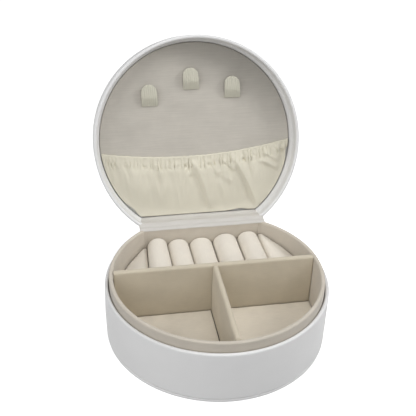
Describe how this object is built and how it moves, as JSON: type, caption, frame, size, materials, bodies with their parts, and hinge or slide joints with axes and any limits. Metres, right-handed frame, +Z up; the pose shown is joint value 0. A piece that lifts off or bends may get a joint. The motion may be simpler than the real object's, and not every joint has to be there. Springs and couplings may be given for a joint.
{
  "type": "jewelry box",
  "caption": "Round leatherette jewelry box with a flat hinged back, velvet collar, padded dividers, ring rolls, necklace tabs and a gathered pouch in the lid",
  "frame": {"origin": "on the bottom face, at the centre of the round outline", "axes": "+Z up, the flat hinged back faces +Y, X runs along the hinge"},
  "size_m": [0.1198, 0.1624, 0.1368],
  "materials": {
    "white_leather": "smooth white leatherette, fine grain, low sheen",
    "beige_velvet": "short-pile beige velvet",
    "cream_velvet": "short-pile cream velvet over foam",
    "grey_suede": "brushed suede cloth with fine streaks",
    "cream_satin": "soft cream cloth with a dull sheen, gathered on elastic",
    "cream_ribbon": "ribbed cream ribbon",
    "grey_board": "plain grey board",
    "white_foam": "thin foam sheet"
  },
  "bodies": {
    "base": {"bottom_cover": "white_leather", "base_shell": "white_leather", "bottom_board": "grey_board", "collar": "beige_velvet", "floor_board": "grey_board", "divider_across": "beige_velvet", "divider_centre": "beige_velvet", "floor_panel_left": "beige_velvet", "floor_panel_right": "beige_velvet", "ring_roll_panel": "beige_velvet", "ring_roll_1": "cream_velvet", "ring_roll_2": "cream_velvet", "ring_roll_3": "cream_velvet", "ring_roll_4": "cream_velvet", "ring_roll_5": "cream_velvet", "ring_roll_left": "cream_velvet", "ring_roll_right": "cream_velvet", "hinge_leaf_base": "white_leather", "hinge_strip": "white_leather"},
    "lid": {"lid_shell": "white_leather", "lid_cover": "white_leather", "lid_board": "grey_board", "lid_foam": "white_foam", "lid_liner": "white_leather", "lining_panel": "grey_suede", "pouch": "cream_satin", "pouch_hem": "cream_satin", "hinge_leaf_lid": "white_leather", "tab_root_left": "cream_ribbon", "tab_root_middle": "cream_ribbon", "tab_root_right": "cream_ribbon"},
    "tab_left": {"tab_left": "cream_ribbon"},
    "tab_middle": {"tab_middle": "cream_ribbon"},
    "tab_right": {"tab_right": "cream_ribbon"}
  },
  "joints": [
    {"name": "lid_hinge", "type": "hinge", "parent": "base", "child": "lid", "pos_m": [0, 0.0496, 0.0333], "axis": [1, 0, 0], "range_deg": [0, 110]},
    {"name": "tab_left_fold", "type": "hinge", "parent": "lid", "child": "tab_left", "pos_m": [-0.0262, 0.07965, 0.09803], "axis": [1, 0, 0], "range_deg": [0, 168]},
    {"name": "tab_middle_fold", "type": "hinge", "parent": "lid", "child": "tab_middle", "pos_m": [-0.0017, 0.08256, 0.10601], "axis": [1, 0, 0], "range_deg": [0, 168]},
    {"name": "tab_right_fold", "type": "hinge", "parent": "lid", "child": "tab_right", "pos_m": [0.0224, 0.08061, 0.10066], "axis": [1, 0, 0], "range_deg": [0, 168]}
  ]
}
